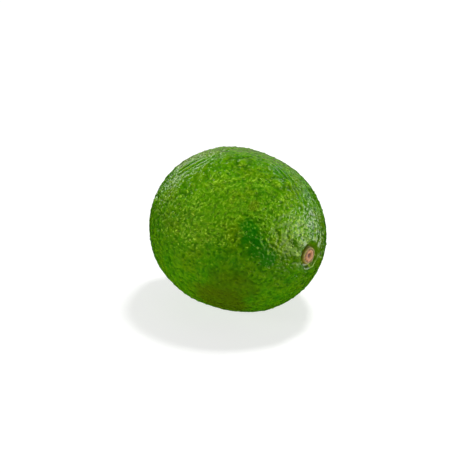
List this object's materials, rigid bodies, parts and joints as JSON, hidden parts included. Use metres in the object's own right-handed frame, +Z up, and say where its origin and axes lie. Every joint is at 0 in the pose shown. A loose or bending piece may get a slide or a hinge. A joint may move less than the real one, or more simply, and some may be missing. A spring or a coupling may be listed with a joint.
{
  "type": "key lime",
  "caption": "Whole ripe-green key lime lying on its side, with a glossy dimpled rind, a low nipple at one end and a woody stem button at the other.",
  "frame": {"origin": "middle of the small flat spot that the fruit rests on", "axes": "+X along the fruit's core towards the stem end, -X towards the nipple, +Y sideways, +Z up"},
  "size_m": [0.0478, 0.0412, 0.0406],
  "materials": {
    "lime_skin": "waxy semi-gloss rind with small oil-gland dimples",
    "stem_wood": "dry, matt, broken stalk"
  },
  "bodies": {
    "root": {"fruit": "lime_skin", "stem_button": "stem_wood"}
  },
  "joints": []
}
